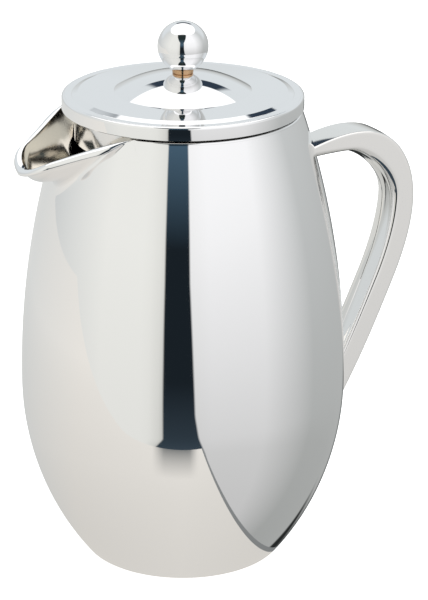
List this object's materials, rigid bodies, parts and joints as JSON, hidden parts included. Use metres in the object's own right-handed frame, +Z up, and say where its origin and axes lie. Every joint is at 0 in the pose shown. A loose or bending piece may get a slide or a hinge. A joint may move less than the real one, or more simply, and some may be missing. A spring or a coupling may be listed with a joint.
{
  "type": "french press",
  "caption": "Double-walled steel french press with egg-shaped pot, V spout, hollow loop handle, domed lid, ball knob and plunger filter.",
  "frame": {"origin": "middle of the flat foot that the pot stands on", "axes": "+Z up along the pot's axis, +X towards the handle, -X towards the spout"},
  "size_m": [0.1924, 0.147, 0.2478],
  "materials": {
    "polished_steel": "mirror-polished stainless steel",
    "liner_steel": "polished stainless steel with fine turning marks",
    "satin_steel": "satin stainless steel",
    "woven_mesh": "fine woven stainless wire mesh",
    "brass": "turned brass",
    "seal": "translucent white silicone"
  },
  "bodies": {
    "pot": {"outer_shell": "polished_steel", "inner_liner": "liner_steel", "base_plate": "satin_steel", "spout": "polished_steel", "handle_left_shell": "polished_steel", "handle_right_shell": "polished_steel"},
    "lid_hub": {"lid_bush": "brass", "bush_washer": "seal", "bush_nut": "satin_steel"},
    "lid": {"lid_cover": "polished_steel", "lid_pan": "satin_steel", "lid_collar": "liner_steel"},
    "plunger": {"plunger_rod": "polished_steel", "filter_hub": "satin_steel", "jam_nut": "satin_steel", "spreader_plate": "satin_steel", "edge_spring": "satin_steel", "filter_mesh": "woven_mesh", "cross_plate": "satin_steel", "clamp_nut": "satin_steel"},
    "knob": {"knob_ball": "polished_steel", "knob_insert": "brass"}
  },
  "joints": [
    {"name": "lid_lift", "type": "slide", "parent": "pot", "child": "lid_hub", "axis": [0, 0, 1], "range_m": [0, 0.2]},
    {"name": "lid_turn", "type": "hinge", "parent": "lid_hub", "child": "lid", "pos_m": [0, 0, 0.209], "axis": [0, 0, 1], "continuous": true},
    {"name": "plunger_slide", "type": "slide", "parent": "lid_hub", "child": "plunger", "axis": [0, 0, 1], "range_m": [0, 0.155]},
    {"name": "knob_turn", "type": "hinge", "parent": "plunger", "child": "knob", "pos_m": [0, 0, 0.236], "axis": [0, 0, 1], "continuous": true}
  ]
}
